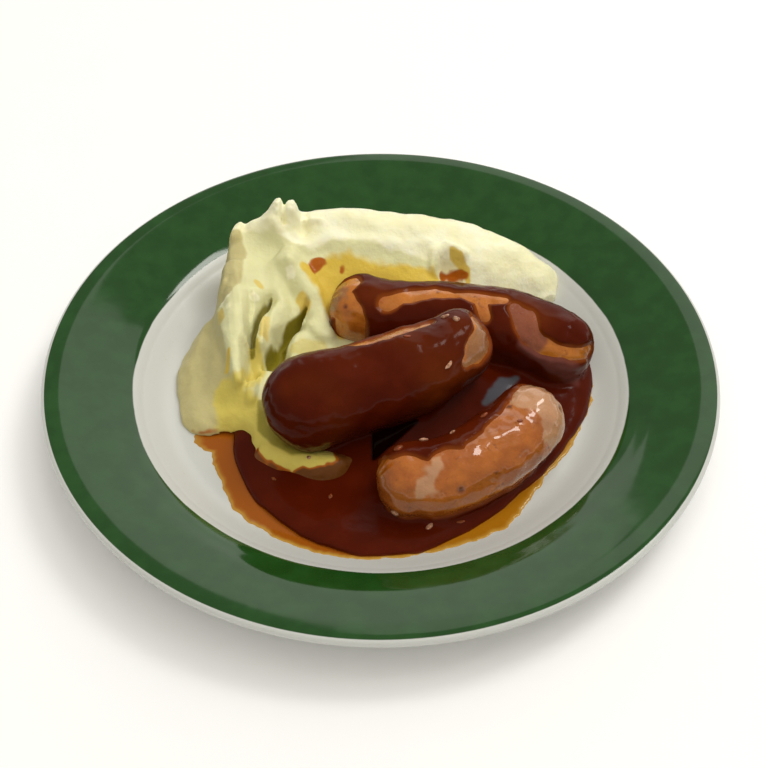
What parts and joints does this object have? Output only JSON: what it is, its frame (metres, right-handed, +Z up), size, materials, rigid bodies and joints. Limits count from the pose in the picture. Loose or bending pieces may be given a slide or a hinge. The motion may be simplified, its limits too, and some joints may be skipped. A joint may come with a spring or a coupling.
{
  "type": "plate of sausages and mashed potato in gravy",
  "caption": "Dinner plate with a coloured rim, holding thick sausages in dark brown gravy inside a tall crescent of mashed potato.",
  "frame": {"origin": "middle of the plate's foot, on the table", "axes": "+Z up; +Y to the back of the plate, where the mash is highest; +X to the diner's right"},
  "size_m": [0.2518, 0.2518, 0.0499],
  "materials": {
    "glazed_plate": "gloss glaze, green rim and white well",
    "mashed_potato": "moist, softly lumpy mashed potato",
    "sausage_skin": "fried skin, greasy sheen, fine wrinkles",
    "brown_gravy": "wet gloss"
  },
  "bodies": {
    "root": {"plate": "glazed_plate", "mash": "mashed_potato", "sausage_back": "sausage_skin", "sausage_middle": "sausage_skin", "sausage_front": "sausage_skin", "gravy": "brown_gravy"}
  },
  "joints": []
}
